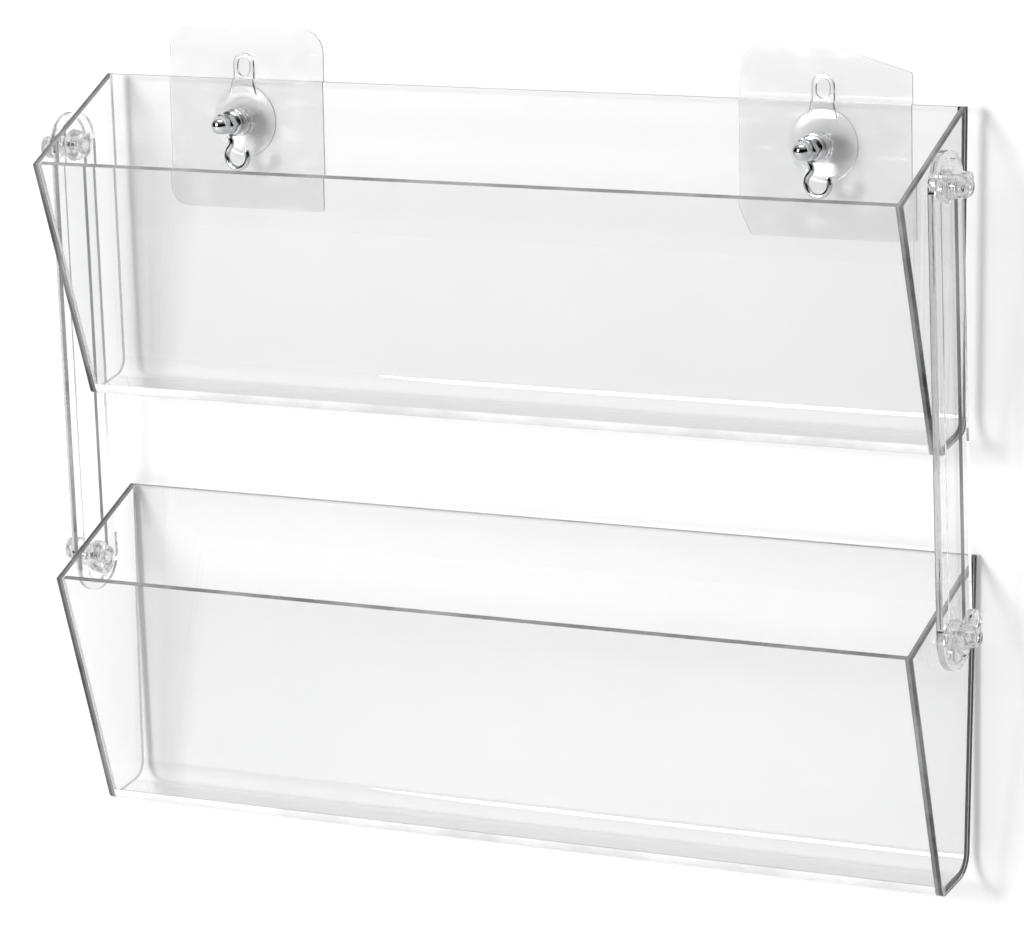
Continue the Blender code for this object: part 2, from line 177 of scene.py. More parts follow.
def softenEdges(made, width, segments=2, angle=40):
    # a polished edge: only the sharp corners are rounded over
    bevel = made.modifiers.new("polish", "BEVEL")
    bevel.width = width
    bevel.segments = segments
    bevel.limit_method = "ANGLE"
    bevel.angle_limit = radians(angle)
    bevel.use_clamp_overlap = True
    return settle(made)


def smoothOver(made, angle=35, keepFlat=False):
    made.data.shade_smooth()
    made.data.set_sharp_from_angle(angle=radians(angle))
    if keepFlat:  # broad flat faces stay optically flat right up to their rounded edges
        weighted = made.modifiers.new("keep flat", "WEIGHTED_NORMAL")
        weighted.keep_sharp = True
        weighted.weight = 100
    return made


def fit(made, materials, body, node):
    # gives a finished piece its materials and its body, and hides the plain solid that it stands for
    for material in materials if isinstance(materials, tuple) else (materials,):
        made.data.materials.append(material)
    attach(made, body)
    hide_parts(node)


alongX = Matrix.Rotation(pi / 2, 4, "Y")
alongMinusX = Matrix.Rotation(-pi / 2, 4, "Y")
outOfWall = Matrix.Rotation(pi / 2, 4, "X")
# a flat plate's (across, up) becomes (y, z)
standSideways = Matrix(((0, 0, 1, 0), (1, 0, 0, 0), (0, 1, 0, 0), (0, 0, 0, 1)))


def newGroup(name, inputs, outputs):
    tree = bpy.data.node_groups.new(name, "ShaderNodeTree")
    for label, kind, value in inputs:
        socket = tree.interface.new_socket(name=label, in_out="INPUT", socket_type=kind)
        socket.default_value = value
    for label, kind in outputs:
        tree.interface.new_socket(name=label, in_out="OUTPUT", socket_type=kind)
    return tree, tree.nodes.new("NodeGroupInput"), tree.nodes.new("NodeGroupOutput")


def node(tree, kind, **settings):
    made = tree.nodes.new(kind)
    for key, value in settings.items():
        setattr(made, key, value)
    return made


def noiseAt(tree, scaleFrom, detail, roughness, stretch=None):
    # noise in the piece's own coordinates, stretched along one way if asked
    spot = node(tree, "ShaderNodeTexCoord")
    noise = node(tree, "ShaderNodeTexNoise")
    noise.inputs["Detail"].default_value = detail
    noise.inputs["Roughness"].default_value = roughness
    if stretch:
        mapping = node(tree, "ShaderNodeMapping")
        mapping.inputs["Scale"].default_value = stretch
        tree.links.new(spot.outputs["Object"], mapping.inputs["Vector"])
        tree.links.new(mapping.outputs["Vector"], noise.inputs["Vector"])
    else:
        tree.links.new(spot.outputs["Object"], noise.inputs["Vector"])
    tree.links.new(scaleFrom, noise.inputs["Scale"])
    return noise


def rangeOf(tree, source, low, high, toLow, toHigh):
    # spreads a value from one range over another, whose ends are numbers or sockets
    made = node(tree, "ShaderNodeMapRange")
    made.inputs["From Min"].default_value = low
    made.inputs["From Max"].default_value = high
    for socket, value in (("To Min", toLow), ("To Max", toHigh)):
        if hasattr(value, "links"):
            tree.links.new(value, made.inputs[socket])
        else:
            made.inputs[socket].default_value = value
    tree.links.new(source, made.inputs["Value"])
    return made.outputs["Result"]


def handlingGroup():
    # faint wipe marks and fine hairlines that dull a glossy surface a little
    smearFrom, smearTo, smearMost = 0.52, 0.75, 0.7
    hairFrom, hairTo = 0.66, 0.74
    tree, entry, leave = newGroup(
        "handling marks",
        [
            ("Mark Scale", "NodeSocketFloat", 60),
            ("Polish", "NodeSocketFloat", 0),
            ("Dulled", "NodeSocketFloat", 0.05),
        ],
        [("Roughness", "NodeSocketFloat")],
    )
    smears = noiseAt(tree, entry.outputs["Mark Scale"], 3, 0.5, (1, 1, 2.2))
    hairs = noiseAt(tree, entry.outputs["Mark Scale"], 2, 0.4, (3, 3, 45))
    smearMask = rangeOf(tree, smears.outputs["Fac"], smearFrom, smearTo, 0, smearMost)
    hairMask = rangeOf(tree, hairs.outputs["Fac"], hairFrom, hairTo, 0, 1)
    both = node(tree, "ShaderNodeMath", operation="MAXIMUM")
    tree.links.new(smearMask, both.inputs[0])
    tree.links.new(hairMask, both.inputs[1])
    dull = rangeOf(tree, both.outputs[0], 0, 1, entry.outputs["Polish"], entry.outputs["Dulled"])
    tree.links.new(dull, leave.inputs["Roughness"])
    return tree


def rippleGroup():
    # the slow waviness of rolled or moulded plastic, as a height
    tree, entry, leave = newGroup(
        "moulded ripple",
        [
            ("Ripple Scale", "NodeSocketFloat", 25),
            ("Pit Scale", "NodeSocketFloat", 900),
            ("Pits", "NodeSocketFloat", 0.1),
        ],
        [("Height", "NodeSocketFloat")],
    )
    waves = noiseAt(tree, entry.outputs["Ripple Scale"], 1, 0.4)
    pits = noiseAt(tree, entry.outputs["Pit Scale"], 2, 0.5)
    share = node(tree, "ShaderNodeMath", operation="MULTIPLY")
    tree.links.new(pits.outputs["Fac"], share.inputs[0])
    tree.links.new(entry.outputs["Pits"], share.inputs[1])
    total = node(tree, "ShaderNodeMath", operation="ADD")
    tree.links.new(waves.outputs["Fac"], total.inputs[0])
    tree.links.new(share.outputs[0], total.inputs[1])
    tree.links.new(total.outputs[0], leave.inputs["Height"])
    return tree


def cloudGroup():
    # cloudy density in a clear or milky plastic: a colour that wanders between two tints; in the painted
    # rim, bend and chrome finishes it carries painted shade, light and reflections
    thinBelow, denseAbove = 0.35, 0.68
    tree, entry, leave = newGroup(
        "cloudy and painted tint",
        [
            ("Cloud Scale", "NodeSocketFloat", 40),
            ("Thin Tint", "NodeSocketColor", (1, 1, 1, 1)),
            ("Dense Tint", "NodeSocketColor", (0.9, 0.9, 0.9, 1)),
        ],
        [("Tint", "NodeSocketColor")],
    )
    clouds = noiseAt(tree, entry.outputs["Cloud Scale"], 4, 0.6)
    mask = rangeOf(tree, clouds.outputs["Fac"], thinBelow, denseAbove, 0, 1)
    blend = node(tree, "ShaderNodeMix", data_type="RGBA")
    tree.links.new(mask, blend.inputs["Factor"])
    tree.links.new(entry.outputs["Thin Tint"], blend.inputs[6])
    tree.links.new(entry.outputs["Dense Tint"], blend.inputs[7])
    tree.links.new(blend.outputs[2], leave.inputs["Tint"])
    return tree


# each puts out only values, heights or colours that change over the surface
groups = {"handling": handlingGroup(), "ripple": rippleGroup(), "cloud": cloudGroup()}


def placeGroup(tree, key, **values):
    # one of the groups in a material, with that material's own values
    made = node(tree, "ShaderNodeGroup", node_tree=groups[key])
    for label, value in values.items():
        made.inputs[label.replace("_", " ")].default_value = value
    return made


def startMaterial(name, plan):
    material = bpy.data.materials.new(name)
    material.use_nodes = True
    tree = material.node_tree
    shader = tree.nodes["Principled BSDF"]
    cloud = placeGroup(
        tree, "cloud", Cloud_Scale=plan["cloudScale"],
        Thin_Tint=(*plan["thinTint"], 1), Dense_Tint=(*plan["denseTint"], 1)
    )
    marks = placeGroup(
        tree, "handling", Mark_Scale=plan["markScale"], Polish=plan["polish"], Dulled=plan["dulled"]
    )
    ripple = placeGroup(
        tree, "ripple", Ripple_Scale=plan["rippleScale"], Pit_Scale=plan["pitScale"], Pits=plan["pits"]
    )
    bump = node(tree, "ShaderNodeBump")
    bump.inputs["Strength"].default_value = plan["bump"]
    bump.inputs["Distance"].default_value = plan["depth"]
    tree.links.new(cloud.outputs["Tint"], shader.inputs["Base Color"])
    tree.links.new(marks.outputs["Roughness"], shader.inputs["Roughness"])
    tree.links.new(ripple.outputs["Height"], bump.inputs["Height"])
    tree.links.new(bump.outputs["Normal"], shader.inputs["Normal"])
    shader.inputs["IOR"].default_value = plan["ior"]
    shader.inputs["Specular IOR Level"].default_value = plan["gloss"]
    return material, tree, shader


def clearMaterial(name, plan):
    # see-through plastic: lamps and the light off the wall pass straight through, dimmed a little
    material, tree, shader = startMaterial(name, plan)
    shader.inputs["Transmission Weight"].default_value = plan["clear"]
    output = tree.nodes["Material Output"]
    passing = node(tree, "ShaderNodeBsdfTransparent")
    passing.inputs["Color"].default_value = (*[plan["passing"]] * 3, 1)
    path = node(tree, "ShaderNodeLightPath")
    surface = shader.outputs["BSDF"]
    for ray in ("Is Shadow Ray", "Is Diffuse Ray"):
        mix = node(tree, "ShaderNodeMixShader")
        tree.links.new(path.outputs[ray], mix.inputs[0])
        tree.links.new(surface, mix.inputs[1])
        tree.links.new(passing.outputs[0], mix.inputs[2])
        surface = mix.outputs[0]
    tree.links.new(surface, output.inputs["Surface"])
    body = node(tree, "ShaderNodeVolumeAbsorption")
    body.inputs["Color"].default_value = (0, 0, 0, 1)  # dims every colour alike
    body.inputs["Density"].default_value = plan["density"]
    tree.links.new(body.outputs[0], output.inputs["Volume"])
    return material


def platedMaterial(name, plan):
    material, _, shader = startMaterial(name, plan)
    shader.inputs["Metallic"].default_value = 1
    return material


sheetPlan = {
    "clear": 1, "passing": 0.985, "density": 8, "ior": 1.49, "gloss": 0.5,
    "thinTint": (1, 1, 1), "denseTint": (0.985, 0.988, 0.988), "cloudScale": 14,
    "markScale": 26, "polish": 0.0, "dulled": 0.025,
    "rippleScale": 16, "pitScale": 500, "pits": 0.002, "bump": 0.03, "depth": 0.2 * mm,
}
rimPlan = {
    "clear": 0.5, "passing": 0.45, "density": 8, "ior": 1.49, "gloss": 0.5, "cloudScale": 32,
    "markScale": 240, "polish": 0.12, "dulled": 0.35,
    "rippleScale": 300, "pitScale": 1500, "pits": 0.3, "bump": 0.12, "depth": 0.1 * mm,
}
clearSheet = clearMaterial("clear sheet", sheetPlan)
sideSheet = clearMaterial("side sheet", {**sheetPlan, "passing": 0.89})
# painted shade: the outer half of the side panels' cut rims is tinted dark, for the dark lines that
# refraction shows along clear edges
paintedDarkRim = clearMaterial("painted dark rim", {
    **rimPlan, "clear": 0.2, "passing": 0.62,
    "thinTint": (0.24, 0.244, 0.244), "denseTint": (0.03, 0.031, 0.031),
})
# painted shade: the panel rims that face the wall are near black, for the black line that total internal
# reflection gives along the back edge
paintedBlackRim = clearMaterial("painted black back rim", {
    **rimPlan, "clear": 0, "gloss": 0, "passing": 0.62,
    "thinTint": (0.006, 0.0062, 0.0062), "denseTint": (0.001, 0.0011, 0.0011),
})
# painted shade: grey tint on the sheet's top rims and the inner half of the panel rims, for the grey lines
# those edges show
paintedGreyRim = clearMaterial("painted grey rim", {
    **rimPlan, "thinTint": (0.66, 0.665, 0.665), "denseTint": (0.24, 0.245, 0.245),
})
# painted shade: the walls of the links' sunk web are tinted grey for the dark lines along the rails
paintedGrooveShade = clearMaterial("painted groove shade", {
    **rimPlan, "passing": 0.8,
    "thinTint": (0.5, 0.505, 0.505), "denseTint": (0.2, 0.205, 0.205), "cloudScale": 20,
})
# painted light: the front bend is partly diffuse and pale, so it reads light grey where the clear bend turns
# dark; a slight haze in the bend is real
paintedPaleBend = clearMaterial("painted pale bend", {
    **rimPlan, "clear": 0.12, "passing": 0.8,
    "thinTint": (0.95, 0.952, 0.952), "denseTint": (0.72, 0.725, 0.725), "cloudScale": 30,
})
mouldedClear = clearMaterial("moulded clear", {
    "clear": 1, "passing": 0.99, "density": 4, "ior": 1.49, "gloss": 0.5,
    "thinTint": (1, 1, 1), "denseTint": (0.975, 0.98, 0.98), "cloudScale": 60,
    "markScale": 80, "polish": 0.005, "dulled": 0.05,
    "rippleScale": 120, "pitScale": 900, "pits": 0.05, "bump": 0.12, "depth": 0.3 * mm,
})
softVinyl = clearMaterial("soft vinyl", {
    "clear": 1, "passing": 0.97, "density": 36, "ior": 1.47, "gloss": 0.5,
    "thinTint": (1, 1, 1), "denseTint": (0.975, 0.978, 0.978), "cloudScale": 90,
    "markScale": 120, "polish": 0.1, "dulled": 0.24,
    "rippleScale": 90, "pitScale": 1400, "pits": 0.15, "bump": 0.15, "depth": 0.3 * mm,
})
padFilm = clearMaterial("pad film", {
    "clear": 0.98, "passing": 0.98, "density": 62, "ior": 1.45, "gloss": 0.5,
    "thinTint": (1, 1, 1), "denseTint": (0.97, 0.972, 0.972), "cloudScale": 55,
    "markScale": 70, "polish": 0.08, "dulled": 0.3,
    "rippleScale": 45, "pitScale": 1600, "pits": 0.12, "bump": 0.2, "depth": 0.25 * mm,
})
# painted reflection: the dense tint's darker blotches stand for dark reflections in the plating
brightChrome = platedMaterial("bright chrome", {
    "ior": 1.49, "gloss": 0.5,
    "thinTint": (0.84, 0.85, 0.87), "denseTint": (0.6, 0.61, 0.64), "cloudScale": 260,
    "markScale": 300, "polish": 0.035, "dulled": 0.14,
    "rippleScale": 220, "pitScale": 2600, "pits": 0.08, "bump": 0.05, "depth": 0.1 * mm,
})
print("materials: clear sheets, cut rims, painted pale bend, moulded clear, soft vinyl, pad film, bright chrome")


cameraPlan = {
    "azimuth": radians(29.17), "elevation": radians(10.38), "roll": radians(-1.19),
    "target": Vector((-0.00608, -0.008, -0.1323)), "distance": 2.0007, "lens": 178.5, "film": 36,
}


def aimCamera(plan):
    around, rise, roll = plan["azimuth"], plan["elevation"], plan["roll"]
    back = Vector((sin(around) * cos(rise), -cos(around) * cos(rise), sin(rise)))
    right = (-back).cross(Vector((0, 0, 1))).normalized()
    upward = right.cross(-back)
    across = cos(roll) * right + sin(roll) * upward
    over = cos(roll) * upward - sin(roll) * right
    camera = newObject("camera", bpy.data.cameras.new("camera"))
    place = Matrix.Translation(plan["target"] + back * plan["distance"])
    camera.matrix_world = place @ Matrix((across, over, back)).transposed().to_4x4()
    camera.data.sensor_width = plan["film"]
    camera.data.lens = plan["lens"]
    bpy.context.scene.camera = camera


aimCamera(cameraPlan)
print("camera: in front, to the right and a little above")


# a bin is one bent sheet between two side panels
binPlan = {
    "width": 380 * mm, "sheet": 2.8 * mm, "topDepth": 56.8 * mm, "floorDepth": 23.9 * mm,
    "frontDrop": 97.7 * mm, "backDrop": 92.2 * mm, "backRise": 30.5 * mm,
    "floorBend": 10 * mm, "frontBend": 2.6 * mm, "sideDraft": 0.0199, "draftLevel": 15 * mm,
    "glueLine": 0.15 * mm, "polish": 0.22 * mm, "lowerTip": radians(-1.34),
    "pivot": Vector((0, -25 * mm, 4 * mm)), "boltHole": 2.8 * mm, "drillLength": 22.4 * mm,
    "paintedPaleReach": 4.5 * mm,  # how far the front bend's painted pale light reaches
    "rimBand": 4 * mm,  # the sheet's top rims lie above this much below the front edge
    "holeBand": 5 * mm,  # faces nearer than this to the bolt's middle are the hole's own
    "facing": 0.6,  # a face whose normal leans this much one way faces that way
    "edgeOn": 0.4,  # a side panel's face whose normal leans sideways less than this is its rim
}


def binPlace(tier):
    # from a bin's own plane, (0, y, z) off the back sheet and the front edge, to its place at rest
    pivot = Vector(joints["right_link_swing" if tier == "upper" else "lower_bin_tilt"]["pos_m"])
    pivot.x = 0
    tip = binPlan["lowerTip"] if tier == "lower" else 0
    return Matrix.Translation(pivot) @ Matrix.Rotation(tip, 4, "X") @ Matrix.Translation(-binPlan["pivot"])


def binCorners():
    plan = binPlan
    return [
        (-plan["topDepth"], 0, 0),
        (-plan["floorDepth"], -plan["frontDrop"], plan["frontBend"]),
        (0, -plan["backDrop"], plan["floorBend"]),
        (0, plan["backRise"], 0),
    ]


def leanSides(made):
    # the sides draw in towards the floor
    lean, level = binPlan["sideDraft"], binPlan["draftLevel"]
    for vertex in made.data.vertices:
        vertex.co.x *= 1 - lean * (level - vertex.co.z) / (binPlan["width"] / 2)


def splitFaces(made, place, across):
    # a line right round the piece, so that its two sides can differ in finish
    work = bmesh.new()
    work.from_mesh(made.data)
    everything = work.verts[:] + work.edges[:] + work.faces[:]
    bmesh.ops.bisect_plane(work, geom=everything, dist=planeGap, plane_co=place, plane_no=across)
    work.to_mesh(made.data)
    work.free()


def troughSheet(tier):
    plan = binPlan
    half = plan["width"] / 2 - plan["sheet"] - plan["glueLine"]
    line = roundedLine(binCorners(), closed=False, steps=14)
    mesh = bpy.data.meshes.new(f"{tier}TroughSheet")
    work = bmesh.new()
    first = [work.verts.new((-half, y, z)) for y, z in line]
    last = [work.verts.new((half, y, z)) for y, z in line]
    for i in range(len(line) - 1):
        work.faces.new((first[i], last[i], last[i + 1], first[i + 1]))
    work.to_mesh(mesh)
    work.free()
    made = newObject(mesh.name, mesh)
    solidify = made.modifiers.new("sheet", "SOLIDIFY")
    solidify.thickness = plan["sheet"]
    solidify.offset = 1  # inwards from the outer faces
    solidify.use_even_offset = True
    made = settle(made)
    if tier == "upper":
        for _, side in sides:
            stud = binPlace(tier).inverted() @ Vector((side * hangerPlan["studX"], 0, 0))
            made = drill(made, plan["boltHole"], plan["drillLength"], outOfWall, stud)
    made = softenEdges(made, plan["polish"], angle=60)
    bendTop = plan["paintedPaleReach"] - plan["frontDrop"]
    bendBack = plan["paintedPaleReach"] - plan["floorDepth"]
    splitFaces(made, (0, 0, bendTop), (0, 0, 1))
    splitFaces(made, (0, bendBack, 0), (0, 1, 0))
    # the top rims get painted grey shade and the front bend gets painted pale light
    for face in made.data.polygons:
        if face.normal.z > plan["facing"] and face.center.z > -plan["rimBand"]:
            face.material_index = 1
        elif face.center.z < bendTop and face.center.y < bendBack:
            face.material_index = 2
    leanSides(made)
    made.data.transform(binPlace(tier))
    made = smoothOver(made, 50, True)
    fit(made, (clearSheet, paintedGreyRim, paintedPaleBend), f"{tier}_bin", f"{tier}_trough_sheet")


def sidePanel(tier, word, side):
    plan = binPlan
    middle = (plan["width"] - plan["sheet"]) / 2
    name = f"{tier}SidePanel{word.title()}"
    made = flatPlate(name, [roundedLine(binCorners(), steps=14)], plan["sheet"])
    made.data.transform(Matrix.Translation((side * middle, 0, 0)) @ standSideways)
    hole = (side * plan["width"] / 2, plan["pivot"].y, plan["pivot"].z)
    made = drill(made, plan["boltHole"], plan["drillLength"], alongX, hole)
    made = softenEdges(made, plan["polish"], angle=60)
    splitFaces(made, (side * middle, 0, 0), (1, 0, 0))
    # the rims get painted shade: grey on the inner half, dark on the outer half, near black where they face
    # the wall
    for face in made.data.polygons:
        atHole = (face.center - Vector(hole)).yz.length <= plan["holeBand"]
        if abs(face.normal.x) >= plan["edgeOn"] or atHole:
            continue
        outer = abs(face.center.x) > middle
        face.material_index = 3 if face.normal.y > plan["facing"] else 2 if outer else 1
    leanSides(made)
    made.data.transform(binPlace(tier))
    made = smoothOver(made, 50, True)
    materials = (sideSheet, paintedGreyRim, paintedDarkRim, paintedBlackRim)
    fit(made, materials, f"{tier}_bin", f"{tier}_side_panel_{word}")


# a spacer, a bolt and a wing knob hold each corner's pivot
pivotPlan = {
    "spacer": 0.7 * mm, "spacerRadius": 6 * mm, "spacerEdge": 0.2 * mm,
    "boltRadius": 2.5 * mm, "head": 2.3 * mm, "headRadius": 4.8 * mm, "headTip": 0.2 * mm,
    "headDome": ((0.5, 0.14 * mm), (0.8, 0.6 * mm), (0.97, 1.3 * mm), (1, 1.7 * mm)),
    "headEdge": 0.15 * mm, "underHead": 0.2 * mm, "boltEnd": 0.5 * mm,
    "thread": 0.8 * mm, "threadDepth": 0.3 * mm, "threadFrom": 8 * mm, "threadEnd": 0.6 * mm,
    "flange": 6.5 * mm, "flangeEdge": 1 * mm, "flangeTop": 1.5 * mm, "hub": 4.6 * mm,
    "tip": 3.9 * mm, "tipEdge": 0.9 * mm, "wingFoot": 1.7 * mm, "wingTop": 5.2 * mm,
    "wingReach": 14 * mm, "wingBlade": 4.6 * mm, "bladeShare": 0.96, "wingWaist": 2.6 * mm,
    "grain": 0.4 * mm, "melt": 0.6, "meltRounds": 7, "knobTurn": {"upper": 0.0, "lower": radians(28)},
}


def facing(side, start, pivot):
    # local Z to the outside of the rack, starting at that distance from its middle
    return Matrix.Translation((side * start, pivot.y, pivot.z)) @ (alongX if side > 0 else alongMinusX)


def spacerRing(tier, word, side):
    plan = pivotPlan
    low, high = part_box(f"{tier}_spacer_{word}")
    start = low.x if side > 0 else -high.x
    outer, inner, edge = plan["spacerRadius"], binPlan["boltHole"], plan["spacerEdge"]
    ring = [(outer - edge, plan["spacer"]), (outer, plan["spacer"] - edge)]
    ring += [(outer, edge), (outer - edge, 0), (inner, 0), (inner, plan["spacer"])]
    made = turnedBody(f"{tier}Spacer{word.title()}", ring, closed=True)
    made.data.transform(facing(side, start, (low + high) / 2))
    fit(smoothOver(made), softVinyl, f"{tier}_bin", f"{tier}_spacer_{word}")


def threadedBody(name, profile, threadFrom, threadTo, pitch, depth, around=32, perTurn=6):
    # a turned body with a helical thread between two heights
    heights = []
    for (r0, z0), (r1, z1) in zip(profile, profile[1:]):
        threaded = min(z0, z1) >= threadFrom - depth
        cuts = max(1, round(abs(z1 - z0) / pitch * perTurn)) if threaded else 1
        for cut in range(cuts):
            t = cut / cuts
            heights.append((r0 + (r1 - r0) * t, z0 + (z1 - z0) * t))
    heights.append(profile[-1])
    work = bmesh.new()
    rings = []
    for radius, height in heights:
        ring = []
        for i in range(around):
            angle = 2 * pi * i / around
            reach = radius
            if threadFrom < height < threadTo:
                phase = height / pitch - i / around
                reach -= depth * (0.5 + 0.5 * cos(2 * pi * (phase - floor(phase))))
            ring.append(work.verts.new((reach * cos(angle), reach * sin(angle), height)))
        rings.append(ring)
    for lower, upper in zip(rings, rings[1:]):
        for i in range(around):
            work.faces.new((lower[i], lower[(i + 1) % around], upper[(i + 1) % around], upper[i]))
    work.faces.new(rings[0])
    work.faces.new(rings[-1])
    bmesh.ops.recalc_face_normals(work, faces=work.faces)
    mesh = bpy.data.meshes.new(name)
    work.to_mesh(mesh)
    work.free()
    return newObject(name, mesh)


def pivotBolt(tier, word, side):
    plan = pivotPlan
    low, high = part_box(f"{tier}_pivot_bolt_{word}")
    length = high.x - low.x
    start = low.x if side > 0 else -high.x
    shank, rim, head, end = plan["boltRadius"], plan["headRadius"], plan["head"], plan["boltEnd"]
    dome = [(plan["headTip"], 0)] + [(rim * share, height) for share, height in plan["headDome"]]
    profile = easyLine(dome, 3) + [(rim, head - plan["headEdge"]), (rim - plan["headEdge"], head)]
    profile += [(shank + plan["underHead"], head), (shank, head + plan["underHead"])]
    profile += [(shank, length - end), (shank - end, length)]
    made = threadedBody(
        f"{tier}PivotBolt{word.title()}", profile, plan["threadFrom"], length - plan["threadEnd"],
        plan["thread"], plan["threadDepth"]
    )
    made.data.transform(facing(side, start, (low + high) / 2))
    fit(smoothOver(made), mouldedClear, f"{tier}_bin", f"{tier}_pivot_bolt_{word}")


def wingKnob(tier, word, side):
    plan = pivotPlan
    low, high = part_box(f"{tier}_wing_knob_{word}")
    height = high.x - low.x
    start = low.x if side > 0 else -high.x
    pivot = Vector(joints[f"{tier}_knob_turn_{word}"]["pos_m"])
    tip, edge, hub, flange = plan["tip"], plan["tipEdge"], plan["hub"], plan["flange"]
    profile = [(0, height), (tip - edge, height), (tip, height - edge), (hub, plan["wingTop"])]
    profile += [(hub, plan["flangeTop"]), (flange, plan["flangeEdge"]), (flange, 0), (0, 0)]
    made = turnedBody(f"{tier}WingKnob{word.title()}", profile, 40)
    waist, blade = plan["wingWaist"], plan["wingBlade"]
    out, narrow = plan["wingReach"] - blade, blade * plan["bladeShare"]
    bow = [(0, -waist), (out, -narrow)] + arcPoints((out, 0), blade, -pi / 2, pi / 2, 14)
    bow += [(out, narrow), (0, waist)]
    outline = bow + [(-x, -y) for x, y in bow[1:-1]]
    wings = flatPlate("wings", [outline], plan["wingTop"] - plan["wingFoot"])
    wings.data.transform(Matrix.Translation((0, 0, (plan["wingTop"] + plan["wingFoot"]) / 2)))
    made = joinOrCut(made, wings, "UNION")
    grain = made.modifiers.new("grain", "REMESH")
    grain.mode = "VOXEL"
    grain.voxel_size = plan["grain"]
    melt = made.modifiers.new("melt", "SMOOTH")
    melt.factor = plan["melt"]
    melt.iterations = plan["meltRounds"]
    made = settle(made)
    made = drill(made, binPlan["boltHole"], 4 * height, Matrix.Identity(4), (0, 0, 0))
    made.data.transform(Matrix.Rotation(plan["knobTurn"][tier] + pi / 2, 4, "Z"))
    made.data.transform(facing(side, start, pivot))
    made = smoothOver(made, 50)
    fit(made, mouldedClear, f"{tier}_knob_{word}", f"{tier}_wing_knob_{word}")


# a link is a strip with round ends and a raised border, with its web sunk on the outside
linkPlan = {
    "length": 170 * mm, "width": 26.5 * mm, "web": 1.4 * mm, "rail": 1.4 * mm, "sunk": 14.5 * mm,
    "reach": 10.6 * mm, "hole": 2.8 * mm, "lean": radians(1.98), "edge": 0.45 * mm,
    "wallBand": 1 * mm, "wallLean": 0.6,  # the sunk web's walls are this near its sides and this upright
}


def hangingLink(word, side):
    plan = linkPlan
    thickness = plan["web"] + plan["rail"]
    low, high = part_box(f"{word}_link")
    start = low.x if side > 0 else -high.x
    made = flatPlate(f"{word}Link", [slotLine(plan["width"], -plan["length"], 0, 24)], thickness)
    grow = plan["reach"] - plan["sunk"] / 2
    sunk = flatPlate("sunk", [slotLine(plan["sunk"], -plan["length"] - grow, grow, 20)], 2 * plan["rail"])
    sunk.data.transform(Matrix.Translation((0, 0, thickness / 2)))
    made = joinOrCut(made, sunk, "DIFFERENCE")
    made = softenEdges(made, plan["edge"], 3)
    for height in (0, -plan["length"]):
        made = drill(made, plan["hole"], 4 * thickness, Matrix.Identity(4), (0, height, 0))
    # the sunk web's walls get painted grey shade
    for face in made.data.polygons:
        offWall = abs(abs(face.center.x) - plan["sunk"] / 2)
        isWall = abs(face.normal.z) < plan["wallLean"] and offWall < plan["wallBand"]
        face.material_index = int(isWall and -plan["length"] < face.center.y < 0)
    outward = Matrix.Scale(side, 4, (1, 0, 0)) @ Matrix.Translation((start + thickness / 2, 0, 0))
    made.data.transform(outward @ standSideways)
    if side < 0:
        made.data.flip_normals()  # the left link is the right one mirrored
    pivot = Vector(joints["right_link_swing"]["pos_m"])
    hung = Matrix.Translation((0, pivot.y, pivot.z)) @ Matrix.Rotation(plan["lean"], 4, "X")
    made.data.transform(hung)
    made = smoothOver(made, 50, True)
    fit(made, (mouldedClear, paintedGrooveShade), f"{word}_link", f"{word}_link")


# each hanger has a wall pad, a suction cup with its tab, a stud, a washer, a hook and a cap nut
hangerPlan = {"studX": 128.5 * mm, "bore": 2.8 * mm}

padPlan = {
    "lift": 0.9 * mm, "half": 36 * mm, "thick": 0.6 * mm, "edge": 0.12 * mm,
    "cornerRadii": (8 * mm, 1.5 * mm, 9 * mm, 9 * mm),  # from the lower left, the left pad
    "footCut": (5 * mm, 11 * mm), "footRadius": 3 * mm,
    "slantDrop": 8.5 * mm, "slantFrom": 5.5 * mm, "slantRadii": (1.5 * mm, 4 * mm),
    "plainRadii": (1 * mm, 9 * mm),  # the right pad's lower right and upper left corners
}


def wallPad(word, side):
    plan = padPlan
    half = plan["half"]
    if side < 0:
        spots = ((-half, -half), (half, -half), (half, half), (-half, half))
        corners = [(*spot, radius) for spot, radius in zip(spots, plan["cornerRadii"])]
    else:  # this pad's upper outer corner is cut off at a slant
        cutX, cutZ = plan["footCut"]
        corners = [(-half, -half + cutZ, plan["footRadius"]), (-half + cutX, -half, plan["footRadius"])]
        corners += [(half, -half, plan["plainRadii"][0])]
        corners += [(half, half - plan["slantDrop"], plan["slantRadii"][0])]
        corners += [(plan["slantFrom"], half, plan["slantRadii"][1]), (-half, half, plan["plainRadii"][1])]
    made = flatPlate(f"{word}WallPad", [roundedLine(corners, steps=12)], plan["thick"])
    made = softenEdges(made, plan["edge"], 2, 60)
    place = Matrix.Translation((side * hangerPlan["studX"], -plan["thick"] / 2, plan["lift"]))
    made.data.transform(place @ outOfWall)
    fit(smoothOver(made, 50, True), padFilm, "upper_bin", f"{word}_wall_pad")


